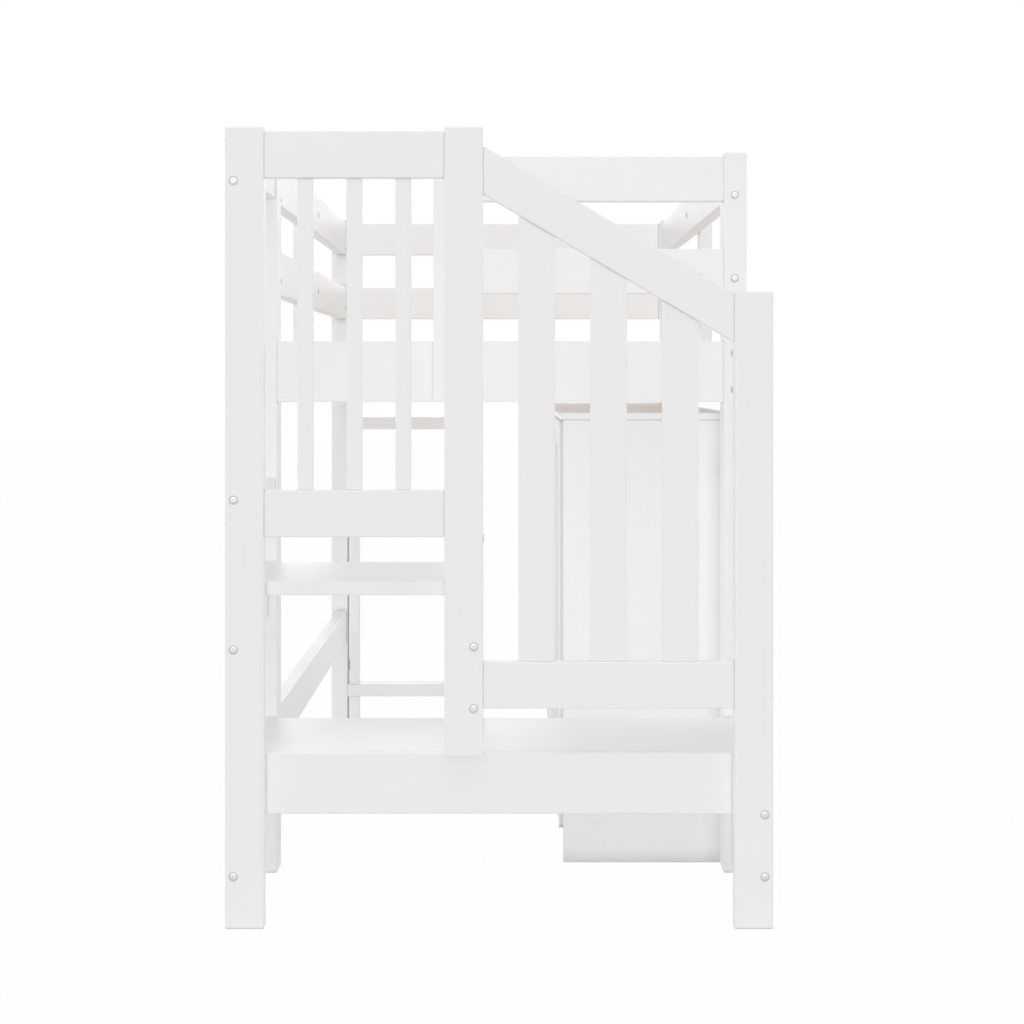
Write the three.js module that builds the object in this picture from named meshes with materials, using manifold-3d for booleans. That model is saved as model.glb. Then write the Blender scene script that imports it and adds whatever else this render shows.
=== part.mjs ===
// Loft bed in painted pine with a stair tower at its foot end and a long cabinet under the platform.
// Millimetres, +Z up. X runs across the bed. Y runs along it, away from the stair.
import * as THREE from 'three';
import { mergeVertices } from 'three/addons/utils/BufferGeometryUtils.js';
import Module from 'manifold-3d';

const wasm = await Module();
wasm.setup();

// Overall sizes
const bedWidth = 1080;
const bedLength = 2030;
const stairDepth = 465;

// Timber sections
const bedPostWidth = 50;
const bedPostDepth = 80;
const stairPostWidth = 76;
const stairPostThickness = 35;
const bedRailThickness = 32;
const sideRailInset = 4;
const guardRailHeight = 98;
const mainRailHeight = 133;
const stairRailThickness = 25;
const stairRailHeight = 92;
const stairRailSetback = 2;
const sideBoardThickness = 25;
const edgeEase = 2;

// Heights of the bed rails, from the floor up
const platformRailBottom = 1033;
const lowerGuardGap = 105;
const upperGuardGap = 104;
const postTopRise = 9;
const lowerLongRailBottom = 256;

// Guard posts bolted outside the rails, and the way in from the landing
const guardPostWidth = 76;
const entryWidth = 344;

// Slatted platform
const ledgerWidth = 25;
const ledgerHeight = 35;
const ledgerRise = 20;
const deckSlatThickness = 18;
const deckSlatWidth = 70;
const deckSlatCount = 13;
const deckEndGap = 45;

// Stair tower
const rightPostHeight = 1256;
const landingWidth = 356;
const lowerTreadTop = 340;
const upperTreadTop = 682;
const treadThickness = 28;
const apronHeight = 120;
const apronThickness = 20;
const cornerStileWidth = 35;
const cornerStileDepth = 30;
const riserFloorGap = 16;
const sideBoardInset = 4;
const middleRiserInset = 5.5;

// Landing guard and stair guard
const landingRailDrop = 8;
const landingRailRise = 90;
const landingSlatWidth = 31;
const landingSlatCount = 3;
const stairRailRise = 94;
const slopeRailDepth = 95;
const slopeDropAtMiddlePost = 36;
const slopeDropAtRightPost = 5;
const stairSlatWidth = 72;
const stairSlatCount = 3;
const guardSlatThickness = 15;

// Cabinet under the platform
const cabinetStandoff = 18;
const cabinetInset = 13;
const cabinetDepth = 387;
const cabinetHeadroom = 25;
const cabinetPanel = 16;
const mullionWidth = 56;
const cabinetBackThickness = 8;
const cabinetFloorBottom = 85;
const kickSetback = 25;
const carcassSetback = 12;
const doorThickness = 16;
const doorProud = 9;
const doorBottom = 78;
const doorTopGap = 2;
const doorSideGap = 4;
const doorMiddleGap = 3;
const doorPanelMargin = 62;
const doorPanelDepth = 5;
const doorPanelBevel = 6;
const shelfHeight = 540;
const shelfSetback = 12;

// Pins that the doors turn on, and the tabs below that carry them
const pinRadius = 3;
const pinReach = 12;
const pinSocketDepth = 8;
const pivotInset = 8;
const tabThickness = 3;
const tabWidth = 24;
const tabOverhang = 9;
const tabGap = 1;
const roundSides = 16;

// Open rack at the head end
const rackStandoff = 8;
const rackWidth = 388;
const rackHeadroom = 71;
const rackLegWidth = 26;
const rackBarDepth = 71;
const rackBarHeight = 38;
const rackShelfTop = 125;

// Spacers that tie the cabinet and the rack to the bed posts
const spacerWidth = 18;
const spacerHeight = 35;
const spacerLow = 160;
const spacerHigh = 860;

// Joinery
const jointFit = 0.3;
const tenonDepth = 12;
const tenonShoulder = 3;
const dadoDepth = 5;
const lap = 3;

// Counterbores in which the connector bolts' heads sit
const seatRadius = 9.3;
const seatDepth = 3;
const stairSeatInset = 16.5;
const bedSeatInset = 26;
const footSeatHeight = 103;
const lowerRiserSeatHeight = 225;
const upperRiserSeatRise = 94;
const upperRiserSeatDrop = 98;
const landingSeatHeight = 550;
const landingLowerSeatRise = 73;
const landingUpperSeatDrop = 6;
const mainRailSeatRises = [27, 107];
const lowerGuardSeatRise = 33;
const upperGuardSeatRise = 14;

// Places that follow from the sizes above
const halfWidth = bedWidth / 2;
const bedStart = stairDepth;
const bedEnd = stairDepth + bedLength;
const nearPostBack = bedStart + bedPostDepth;
const farPostFront = bedEnd - bedPostDepth;
const bedMiddle = (bedStart + bedEnd) / 2;
const postInner = halfWidth - bedPostWidth;
const sideRailInner = postInner + sideRailInset;
const sideRailOuter = sideRailInner + bedRailThickness;
const entryPostLeft = -postInner + entryWidth;
const leftPostInner = stairPostWidth - halfWidth;
const middlePostLeft = leftPostInner + landingWidth;
const middlePostRight = middlePostLeft + stairPostWidth;
const rightPostInner = halfWidth - stairPostWidth;
const sideBoardOuter = halfWidth - sideBoardInset;
const sideBoardInner = sideBoardOuter - sideBoardThickness;
const lowerGuardBottom = platformRailBottom + mainRailHeight + lowerGuardGap;
const upperGuardBottom = lowerGuardBottom + guardRailHeight + upperGuardGap;
const postHeight = upperGuardBottom + guardRailHeight + postTopRise;
const landingUpperRailBottom = postHeight - landingRailDrop - stairRailHeight;
const landingLowerRailBottom = upperTreadTop + landingRailRise;
const stairLowerRailBottom = lowerTreadTop + stairRailRise;
const slopeTopAtMiddlePost = postHeight - slopeDropAtMiddlePost;
const slopeTopAtRightPost = rightPostHeight - slopeDropAtRightPost;
const cabinetRight = halfWidth - cabinetInset;
const cabinetLeft = cabinetRight - cabinetDepth;
const cabinetHeight = platformRailBottom - cabinetHeadroom;
const rackLeft = rackStandoff - postInner;
const rackHeight = platformRailBottom - rackHeadroom;
const middleRiserRight = middlePostRight - middleRiserInset;
const middleRiserLeft = middleRiserRight - sideBoardThickness;

const paint = { color: 0xf1f1ef, roughness: 0.42, metalness: 0 };
const interiorPaint = { color: 0xececea, roughness: 0.5, metalness: 0 };

// Turns a closed geometry into a solid for cutting and joining
function toSolid(geometry) {
  const bare = geometry.index ? geometry.toNonIndexed() : geometry.clone();
  bare.deleteAttribute('normal');
  bare.deleteAttribute('uv');
  const merged = mergeVertices(bare);
  const vertProperties = new Float32Array(merged.attributes.position.array);
  const triVerts = new Uint32Array(merged.index.array);
  return new wasm.Manifold(new wasm.Mesh({ numProp: 3, vertProperties, triVerts }));
}

// Gives a solid back as a geometry that can be shown
function toGeometry(solid) {
  const mesh = solid.getMesh();
  const geometry = new THREE.BufferGeometry();
  geometry.setAttribute('position', new THREE.BufferAttribute(mesh.vertProperties, 3));
  geometry.setIndex(new THREE.BufferAttribute(mesh.triVerts, 1));
  geometry.computeVertexNormals();
  return geometry;
}

// Cuts each corner of an outline back to where a round of the eased radius would touch
function easedOutline(points, ease) {
  const count = points.length;
  const shape = new THREE.Shape();
  points.forEach((point, i) => {
    const corner = new THREE.Vector2(...point);
    const before = new THREE.Vector2(...points[(i + count - 1) % count]).sub(corner);
    const after = new THREE.Vector2(...points[(i + 1) % count]).sub(corner);
    const reach = ease / Math.tan(before.angleTo(after) / 2);
    before.setLength(reach);
    after.setLength(reach);
    const start = corner.clone().add(before);
    const end = corner.clone().add(after);
    if (i === 0) shape.moveTo(start.x, start.y);
    else shape.lineTo(start.x, start.y);
    shape.lineTo(end.x, end.y);
  });
  shape.closePath();
  return shape;
}

// Makes a plate from an outline, with every edge eased
function easedPlate(points, thickness, ease) {
  return new THREE.ExtrudeGeometry(easedOutline(points, ease), {
    depth: thickness - 2 * ease,
    steps: 1,
    bevelEnabled: true,
    bevelThickness: ease,
    bevelSize: ease,
    bevelOffset: -ease,
    bevelSegments: 1,
  }).translate(0, 0, ease);
}

// Makes a sawn and planed board that fills the box between two corners
function boardGeometry([x0, x1], [y0, y1], [z0, z1], ease = edgeEase) {
  const corners = [[x0, y0], [x1, y0], [x1, y1], [x0, y1]];
  return easedPlate(corners, z1 - z0, ease).translate(0, 0, z0);
}

// Makes a board from an outline in X and Z, which runs back in Y
function profileGeometry(points, [y0, y1], ease = edgeEase) {
  return easedPlate(points, y1 - y0, ease).rotateX(Math.PI / 2).translate(0, y1, 0);
}

// Makes a square-edged block from an outline in X and Z, which runs back in Y
function blockGeometry(points, [y0, y1]) {
  const outline = new THREE.Shape(points.map(([x, z]) => new THREE.Vector2(x, z)));
  return new THREE.ExtrudeGeometry(outline, { depth: y1 - y0, bevelEnabled: false })
    .rotateX(Math.PI / 2).translate(0, y1, 0);
}

// Makes a square-edged block that fills the box between two corners
function boxGeometry([x0, x1], yRange, [z0, z1]) {
  return blockGeometry([[x0, z0], [x1, z0], [x1, z1], [x0, z1]], yRange);
}

// Makes an upright round bar
function barGeometry(radius, x, y, [z0, z1]) {
  return new THREE.CylinderGeometry(radius, radius, z1 - z0, roundSides)
    .rotateX(Math.PI / 2).translate(x, y, (z0 + z1) / 2);
}

// Glues pieces into one
function join(...geometries) {
  return toGeometry(geometries.map(toSolid).reduce((whole, piece) => whole.add(piece)));
}

// Cuts housings out of a piece
function cut(geometry, ...cutters) {
  return toGeometry(cutters.map(toSolid).reduce((rest, cutter) => rest.subtract(cutter),
    toSolid(geometry)));
}

function rangeFrom(start, length) {
  return [start, start + length];
}

function widened([low, high], margin) {
  return [low - margin, high + margin];
}

function mirrored([low, high]) {
  return [-high, -low];
}

// Hangs one piece in its group
function addPiece(group, name, geometry, finish = paint) {
  const shown = geometry.index ? geometry.toNonIndexed() : geometry;
  shown.computeVertexNormals();
  const mesh = new THREE.Mesh(shown, new THREE.MeshStandardMaterial(finish));
  mesh.name = name;
  group.add(mesh);
}

const bed = new THREE.Group();
const stair = new THREE.Group();
const cabinet = new THREE.Group();
const rack = new THREE.Group();

// Counterbores for bolt heads, in a face that looks along Y
function boltSeats(x, face, heights) {
  return heights.map((z) => new THREE.CylinderGeometry(seatRadius, seatRadius, 2 * seatDepth,
    roundSides).translate(x, face, z));
}

// Bed posts, one at each corner, bored where the long rails' bolts go in. The near left one is bare,
// because the stair tower stands against it.
function buildBedPosts() {
  const seatX = halfWidth - bedSeatInset;
  const sides = [['left', [-halfWidth, -postInner], -seatX],
    ['right', [postInner, halfWidth], seatX]];
  const ends = [['near', [bedStart, nearPostBack], bedStart],
    ['far', [farPostFront, bedEnd], bedEnd]];
  const heights = [...mainRailSeatRises.map((rise) => platformRailBottom + rise),
    lowerGuardBottom + lowerGuardSeatRise, upperGuardBottom + upperGuardSeatRise];
  ends.forEach(([end, yRange, face]) => sides.forEach(([side, xRange, x]) => {
    const post = boardGeometry(xRange, yRange, [0, postHeight]);
    const bare = end === 'near' && side === 'left';
    addPiece(bed, `bed_post_${end}_${side}`,
      bare ? post : cut(post, ...boltSeats(x, face, heights)));
  }));
}

// The two heights at which guard rails run
const guardHeights = [
  ['lower', rangeFrom(lowerGuardBottom, guardRailHeight)],
  ['upper', rangeFrom(upperGuardBottom, guardRailHeight)],
];

// Rails across both ends, and the guard beside the way in
function buildEndRails() {
  const nearY = rangeFrom(bedStart, bedRailThickness);
  const farY = rangeFrom(bedEnd - bedRailThickness, bedRailThickness);
  const across = [-postInner, postInner];
  const beside = [entryPostLeft, postInner];
  const mainZ = rangeFrom(platformRailBottom, mainRailHeight);
  addPiece(bed, 'end_rail_near', boardGeometry(across, nearY, mainZ));
  addPiece(bed, 'end_rail_far', boardGeometry(across, farY, mainZ));
  guardHeights.forEach(([level, zRange]) => {
    addPiece(bed, `near_guard_rail_${level}`, boardGeometry(beside, nearY, zRange));
    addPiece(bed, `far_guard_rail_${level}`, boardGeometry(across, farY, zRange));
  });
  addPiece(bed, 'entry_post', boardGeometry(
    rangeFrom(entryPostLeft, guardPostWidth),
    [bedStart - bedRailThickness, bedStart],
    [platformRailBottom, upperGuardBottom + guardRailHeight]));
}

// Rails along both sides, with a guard post outside them at mid length
function buildSideRails() {
  const along = [nearPostBack, farPostFront];
  const inside = [sideRailInner, sideRailOuter];
  const outside = rangeFrom(sideRailOuter, bedRailThickness);
  const mainZ = rangeFrom(platformRailBottom, mainRailHeight);
  const postY = [bedMiddle - guardPostWidth / 2, bedMiddle + guardPostWidth / 2];
  const postZ = [platformRailBottom, upperGuardBottom + guardRailHeight];
  [['left', mirrored], ['right', (range) => range]].forEach(([side, place]) => {
    addPiece(bed, `side_rail_${side}`, boardGeometry(place(inside), along, mainZ));
    guardHeights.forEach(([level, zRange]) => {
      addPiece(bed, `${side}_guard_rail_${level}`, boardGeometry(place(inside), along, zRange));
    });
    addPiece(bed, `guard_post_${side}`, boardGeometry(place(outside), postY, postZ));
  });
  addPiece(bed, 'long_rail_lower', boardGeometry(mirrored(inside), along,
    rangeFrom(lowerLongRailBottom, guardRailHeight)));
}

// Slats let into the ledgers that carry them
function buildDeck() {
  const ledgerZ = rangeFrom(platformRailBottom + ledgerRise, ledgerHeight);
  const ledgerX = [sideRailInner - ledgerWidth, sideRailInner];
  const along = [nearPostBack, farPostFront];
  const first = nearPostBack + deckEndGap;
  const last = farPostFront - deckEndGap - deckSlatWidth;
  const pitch = (last - first) / (deckSlatCount - 1);
  const slats = Array.from({ length: deckSlatCount }, (_, i) =>
    boardGeometry([-sideRailInner, sideRailInner],
      rangeFrom(first + i * pitch, deckSlatWidth),
      rangeFrom(ledgerZ[1] - lap, deckSlatThickness)));
  addPiece(bed, 'slat_deck', join(boardGeometry(ledgerX, along, ledgerZ),
    boardGeometry(mirrored(ledgerX), along, ledgerZ), ...slats));
}

// Posts of the stair tower and the stile that doubles its outer corner
function buildStairPosts() {
  const front = [0, stairPostThickness];
  const left = [-halfWidth, leftPostInner];
  const middle = [middlePostLeft, middlePostRight];
  const right = [rightPostInner, halfWidth];
  const upperRiserTop = upperTreadTop - treadThickness;
  addPiece(stair, 'stair_post_left', cut(boardGeometry(left, front, [0, postHeight]),
    ...boltSeats(stairSeatInset - halfWidth, 0, [footSeatHeight, landingSeatHeight,
      landingLowerRailBottom + landingLowerSeatRise,
      landingUpperRailBottom - landingUpperSeatDrop])));
  addPiece(stair, 'stair_post_middle', cut(
    boardGeometry(middle, front, [lowerTreadTop, postHeight]),
    ...boltSeats((middleRiserLeft + middleRiserRight) / 2, 0,
      [lowerTreadTop + upperRiserSeatRise, upperRiserTop - upperRiserSeatDrop])));
  addPiece(stair, 'stair_post_right', cut(boardGeometry(right, front, [0, rightPostHeight]),
    ...boltSeats(halfWidth - stairSeatInset, 0, [footSeatHeight, lowerRiserSeatHeight])));
  addPiece(stair, 'stair_corner_stile', boardGeometry(
    rangeFrom(-halfWidth, cornerStileWidth),
    rangeFrom(stairPostThickness, cornerStileDepth),
    [0, landingUpperRailBottom + stairRailHeight]));
}

// Even gaps between a number of like slats
function slatStarts([from, to], count, width) {
  const gap = (to - from - count * width) / (count + 1);
  return Array.from({ length: count }, (_, i) => from + gap + i * (width + gap));
}

// A guard of upright slats whose stub tenons sit in mortises in the rails below and above.
// Each rail is given by the heights of its bottom and top edge, as functions of X.
function buildSlattedGuard(name, span, low, high, slatCount, slatWidth) {
  const railY = rangeFrom(stairRailSetback, stairRailThickness);
  const slatY = widened(railY, (guardSlatThickness - stairRailThickness) / 2);
  const tenonY = widened(slatY, -tenonShoulder);
  const mortiseY = widened(tenonY, jointFit);
  const quad = ([left, right], bottom, top) => [
    [left, bottom(left)], [right, bottom(right)], [right, top(right)], [left, top(left)]];
  const shifted = (edge, rise) => (x) => edge(x) + rise;
  const rails = { low: profileGeometry(quad(span, low.bottom, low.top), railY),
    high: profileGeometry(quad(span, high.bottom, high.top), railY) };
  const seat = shifted(high.bottom, -jointFit);
  slatStarts(span, slatCount, slatWidth).forEach((start, i) => {
    const slatX = rangeFrom(start, slatWidth);
    const tenonX = widened(slatX, -tenonShoulder);
    const slat = profileGeometry(quad(slatX, low.top, seat), slatY);
    const tenon = blockGeometry(quad(tenonX, shifted(low.top, -tenonDepth),
      shifted(seat, tenonDepth)), tenonY);
    addPiece(stair, `${name}_slat_${i + 1}`, join(slat, tenon));
    const mortiseX = widened(tenonX, jointFit);
    const reach = tenonDepth + jointFit;
    rails.low = cut(rails.low, blockGeometry(quad(mortiseX, shifted(low.top, -reach),
      shifted(low.top, reach)), mortiseY));
    rails.high = cut(rails.high, blockGeometry(quad(mortiseX, shifted(high.bottom, -reach),
      shifted(high.bottom, reach)), mortiseY));
  });
  addPiece(stair, `${name}_rail_lower`, rails.low);
  addPiece(stair, `${name}_rail_upper`, rails.high);
}

function levelRail([bottom, top]) {
  return { bottom: () => bottom, top: () => top };
}

// Guard in front of the landing
function buildLandingGuard() {
  buildSlattedGuard('landing', [leftPostInner, middlePostLeft],
    levelRail(rangeFrom(landingLowerRailBottom, stairRailHeight)),
    levelRail(rangeFrom(landingUpperRailBottom, stairRailHeight)),
    landingSlatCount, landingSlatWidth);
}

// Guard beside the steps, whose top rail slopes
function buildStairGuard() {
  const span = [middlePostRight, rightPostInner];
  const fall = (slopeTopAtMiddlePost - slopeTopAtRightPost) / (span[1] - span[0]);
  const slopeTop = (x) => slopeTopAtMiddlePost - fall * (x - span[0]);
  buildSlattedGuard('stair', span,
    levelRail(rangeFrom(stairLowerRailBottom, stairRailHeight)),
    { bottom: (x) => slopeTop(x) - slopeRailDepth, top: slopeTop },
    stairSlatCount, stairSlatWidth);
}

// Rails and boards from the front of the stair tower back to the bed
function buildStairSides() {
  const behindStile = [stairPostThickness + cornerStileDepth, bedStart];
  const behindPosts = [stairPostThickness, bedStart];
  const treadBottoms = [lowerTreadTop - treadThickness, upperTreadTop - treadThickness];
  const sideZ = { lower: landingLowerRailBottom, upper: landingUpperRailBottom };
  Object.entries(sideZ).forEach(([level, bottom]) => {
    addPiece(stair, `landing_side_rail_${level}`, boardGeometry(
      mirrored([sideRailInner, sideRailOuter]), behindStile, rangeFrom(bottom, stairRailHeight)));
  });
  addPiece(stair, 'riser_lower', boardGeometry([sideBoardInner, sideBoardOuter], behindPosts,
    [riserFloorGap, treadBottoms[0]]));
  addPiece(stair, 'riser_upper', boardGeometry([middleRiserLeft, middleRiserRight], behindPosts,
    [lowerTreadTop - dadoDepth, treadBottoms[1]]));
}

// The two treads, the lower one with a deep apron along its outer edge. The upper riser stands in
// a groove that runs across the lower tread and its apron.
function buildTreads() {
  const stileClear = -halfWidth + cornerStileWidth;
  const apronBack = stairPostThickness + apronThickness;
  const groove = boxGeometry(widened([middleRiserLeft, middleRiserRight], jointFit),
    widened([stairPostThickness, bedStart], lap), [lowerTreadTop - dadoDepth, lowerTreadTop + lap]);
  addPiece(stair, 'tread_lower_apron', cut(boardGeometry(
    [stileClear, sideBoardInner], [stairPostThickness, apronBack],
    [lowerTreadTop - apronHeight, lowerTreadTop]), groove));
  addPiece(stair, 'tread_lower', cut(
    treadGeometry(sideBoardOuter, apronBack, lowerTreadTop), groove));
  addPiece(stair, 'tread_upper', treadGeometry(middleRiserRight, stairPostThickness,
    upperTreadTop));
}

// A tread notched round the corner stile, glued up with the cleat under its left end
function treadGeometry(right, front, top) {
  const left = -sideBoardOuter;
  const stileRight = -halfWidth + cornerStileWidth;
  const stileBack = stairPostThickness + cornerStileDepth;
  const underside = top - treadThickness;
  const tread = easedPlate([
    [stileRight, front], [right, front], [right, bedStart], [left, bedStart],
    [left, stileBack], [stileRight, stileBack],
  ], treadThickness, edgeEase).translate(0, 0, underside);
  const cleat = boardGeometry(mirrored([sideBoardInner, sideBoardOuter]), [stileBack, bedStart],
    [underside - stairRailHeight, underside + lap]);
  return join(tread, cleat);
}

// Carcass of the cabinet
const cabinetY = [nearPostBack + cabinetStandoff, farPostFront - cabinetStandoff];
const cabinetInnerY = [cabinetY[0] + cabinetPanel, cabinetY[1] - cabinetPanel];
const carcassFront = cabinetLeft + carcassSetback;
const cabinetTopBottom = cabinetHeight - cabinetPanel;
const backFront = cabinetRight - cabinetBackThickness;
const bays = [
  ['near', [cabinetInnerY[0], bedMiddle - cabinetPanel / 2]],
  ['far', [bedMiddle + cabinetPanel / 2, cabinetInnerY[1]]],
];
const partitionY = [bays[0][1][1], bays[1][1][0]];
const mullionY = [bedMiddle - mullionWidth / 2, bedMiddle + mullionWidth / 2];
const doorFace = cabinetLeft - doorProud;
const pivotX = doorFace + pivotInset;

// Each door's span along the cabinet and the place of its pins
function doorPlaces() {
  const openings = [
    [cabinetInnerY[0] + doorSideGap, mullionY[0] - doorSideGap],
    [mullionY[1] + doorSideGap, cabinetInnerY[1] - doorSideGap],
  ];
  return openings.flatMap(([from, to]) => {
    const width = (to - from - doorMiddleGap) / 2;
    return [
      { span: [from, from + width], pivotY: from + pivotInset },
      { span: [to - width, to], pivotY: to - pivotInset },
    ];
  });
}

// Shelves and partition sit in dadoes: this widens a board's ends into its dadoes
function housed(range) {
  return widened(range, dadoDepth - jointFit);
}

function dadoFor(xRange, bay, zRange) {
  return boxGeometry(widened(xRange, jointFit), widened(bay, dadoDepth),
    widened(zRange, jointFit));
}

function buildCarcass() {
  const fullDepth = [cabinetLeft, cabinetRight];
  const inner = [carcassFront, backFront];
  const shelfX = [carcassFront + shelfSetback, backFront];
  const floorZ = rangeFrom(cabinetFloorBottom, cabinetPanel);
  const shelfZ = rangeFrom(shelfHeight, cabinetPanel);
  const shelfDadoes = bays.map(([, bay]) => dadoFor(shelfX, bay, shelfZ));
  bays.forEach(([end, bay]) => {
    addPiece(cabinet, `cabinet_shelf_${end}`, boardGeometry(shelfX, housed(bay), shelfZ),
      interiorPaint);
  });
  const sideZ = [0, cabinetTopBottom];
  const spacers = cabinetSpacers();
  addPiece(cabinet, 'cabinet_side_near', join(...spacers.near, cut(
    boardGeometry(fullDepth, [cabinetY[0], cabinetInnerY[0]], sideZ), shelfDadoes[0])));
  addPiece(cabinet, 'cabinet_side_far', join(...spacers.far, cut(
    boardGeometry(fullDepth, [cabinetInnerY[1], cabinetY[1]], sideZ), shelfDadoes[1])));
  const partition = join(
    boardGeometry(inner, partitionY, [floorZ[1], cabinetTopBottom]),
    boardGeometry([doorFace, carcassFront + lap], mullionY, [floorZ[1], cabinetTopBottom]));
  addPiece(cabinet, 'cabinet_partition', cut(partition, ...shelfDadoes));
  addPiece(cabinet, 'cabinet_floor', boardGeometry(inner, cabinetInnerY, floorZ), interiorPaint);
  addPiece(cabinet, 'cabinet_back', boardGeometry([backFront, cabinetRight], cabinetInnerY,
    [cabinetFloorBottom, cabinetTopBottom]), interiorPaint);
  const sockets = doorPlaces().map(({ pivotY }) => barGeometry(pinRadius + jointFit, pivotX,
    pivotY, [cabinetTopBottom - lap, cabinetTopBottom + pinSocketDepth + jointFit]));
  addPiece(cabinet, 'cabinet_top', cut(boardGeometry([doorFace, cabinetRight], cabinetY,
    [cabinetTopBottom, cabinetHeight]), ...sockets));
}

// Toe kick, set back under the doors, with a drilled tab in front of it below each door's pin
function buildKick() {
  const kickX = rangeFrom(cabinetLeft + kickSetback, cabinetPanel);
  const tabZ = [doorBottom - tabGap - tabThickness, doorBottom - tabGap];
  const tabs = doorPlaces().map(({ pivotY }) => boardGeometry(
    [pivotX - tabOverhang, kickX[0] + lap],
    [pivotY - tabWidth / 2, pivotY + tabWidth / 2], tabZ, tabThickness / 4));
  const holes = doorPlaces().map(({ pivotY }) => barGeometry(pinRadius + jointFit, pivotX,
    pivotY, widened(tabZ, lap)));
  addPiece(cabinet, 'cabinet_kick', cut(join(
    boardGeometry(kickX, cabinetInnerY, [0, cabinetFloorBottom]), ...tabs), ...holes));
}

// Doors with a sunk panel, each turning on a pin at its top and bottom corner
function buildDoors() {
  const zRange = [doorBottom, cabinetTopBottom - doorTopGap];
  const pins = [
    [zRange[1] - pinReach, cabinetTopBottom + pinSocketDepth],
    [doorBottom - tabGap - tabThickness, doorBottom + pinReach],
  ];
  doorPlaces().forEach(({ span, pivotY }, i) => {
    const slab = boardGeometry(rangeFrom(doorFace, doorThickness), span, zRange);
    addPiece(cabinet, `cabinet_door_${i + 1}`, join(cut(slab, sunkPanel(span, zRange)),
      ...pins.map((pinZ) => barGeometry(pinRadius, pivotX, pivotY, pinZ))));
  });
}

// The cutter for a sunk panel: a block whose sides slope out towards the door's face
function sunkPanel(span, zRange) {
  const flatY = widened(span, -doorPanelMargin - doorPanelBevel);
  const flatZ = widened(zRange, -doorPanelMargin - doorPanelBevel);
  const block = new THREE.BoxGeometry(2 * doorPanelDepth, flatY[1] - flatY[0],
    flatZ[1] - flatZ[0]);
  const corner = block.attributes.position;
  for (let i = 0; i < corner.count; i += 1) {
    const flare = corner.getX(i) < 0 ? 2 * doorPanelBevel : 0;
    corner.setY(i, corner.getY(i) + Math.sign(corner.getY(i)) * flare);
    corner.setZ(i, corner.getZ(i) + Math.sign(corner.getZ(i)) * flare);
  }
  return block.translate(doorFace, (flatY[0] + flatY[1]) / 2, (flatZ[0] + flatZ[1]) / 2);
}

// Blocks glued to the cabinet's ends, through which it is screwed to the bed posts
function cabinetSpacers() {
  const spacerX = rangeFrom(sideRailInner, spacerWidth);
  const inGap = (gap) => [spacerLow, spacerHigh].map((z) =>
    boardGeometry(spacerX, gap, rangeFrom(z, spacerHeight)));
  return {
    near: inGap([nearPostBack, cabinetY[0] + lap]),
    far: inGap([cabinetY[1] - lap, farPostFront]),
  };
}

// Slim open rack at the head end: two deep bars halved into a pair of uprights, the left one tied to
// the far left post through blocks
function buildRack() {
  const rackX = rangeFrom(rackLeft, rackWidth);
  const uprightY = [farPostFront, bedEnd];
  const barX = [-postInner, rackX[1]];
  const barY = rangeFrom(farPostFront, rackBarDepth);
  const bars = [['top', rackHeight], ['shelf', rackShelfTop]].map(([name, top]) =>
    ({ name, barZ: [top - rackBarHeight, top] }));
  const notches = bars.map(({ barZ }) => boxGeometry(widened(barX, lap),
    [barY[0] - lap, barY[1] + jointFit], widened(barZ, jointFit)));
  const blocks = [spacerLow, spacerHigh].map((z) => boardGeometry([-postInner, rackLeft + lap],
    [bedEnd - edgeEase - spacerWidth, bedEnd - edgeEase], rangeFrom(z, spacerHeight)));
  const upright = (left) => cut(boardGeometry(rangeFrom(left, rackLegWidth), uprightY,
    [0, rackHeight]), ...notches);
  addPiece(rack, 'rack_side_left', join(upright(rackX[0]), ...blocks));
  addPiece(rack, 'rack_side_right', upright(rackX[1] - rackLegWidth));
  bars.forEach(({ name, barZ }) => {
    addPiece(rack, `rack_${name}`, boardGeometry(barX, barY, barZ));
  });
}

buildBedPosts();
buildEndRails();
buildSideRails();
buildDeck();
buildStairPosts();
buildLandingGuard();
buildStairGuard();
buildStairSides();
buildTreads();
buildCarcass();
buildKick();
buildDoors();
buildRack();

const loftBed = new THREE.Group();
loftBed.add(bed, stair, cabinet, rack);
loftBed.position.y = -(stairDepth + bedLength) / 2;

export default loftBed;
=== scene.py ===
"""Loft bed in white painted pine, with a stair tower at its foot and a cabinet under its platform."""

import math

import bpy
from mathutils import Matrix, Vector


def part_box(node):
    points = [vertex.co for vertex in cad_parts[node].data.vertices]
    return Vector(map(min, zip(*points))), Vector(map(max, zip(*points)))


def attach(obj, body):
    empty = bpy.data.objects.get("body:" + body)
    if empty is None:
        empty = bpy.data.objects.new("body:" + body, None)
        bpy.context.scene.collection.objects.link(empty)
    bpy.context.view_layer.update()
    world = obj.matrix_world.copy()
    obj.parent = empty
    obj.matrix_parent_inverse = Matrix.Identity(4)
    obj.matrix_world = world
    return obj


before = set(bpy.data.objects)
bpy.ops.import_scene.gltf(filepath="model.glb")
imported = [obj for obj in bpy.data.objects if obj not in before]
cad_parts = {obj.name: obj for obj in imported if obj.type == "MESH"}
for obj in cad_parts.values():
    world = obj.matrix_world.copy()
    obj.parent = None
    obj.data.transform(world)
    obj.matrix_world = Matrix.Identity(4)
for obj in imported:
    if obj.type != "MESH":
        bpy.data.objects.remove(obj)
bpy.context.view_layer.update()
bpy.ops.object.select_all(action="DESELECT")

# The camera stands level at a grown-up's chest, in line with the stair guard. It is a long lens
# that is shifted down, so that every upright stays upright.
CAMERA_PLACE = (0.0253, -5.3329, 1.0875)
CAMERA_LENS = 72.93
CAMERA_SENSOR = 36
CAMERA_SHIFT = -0.1317

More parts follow.
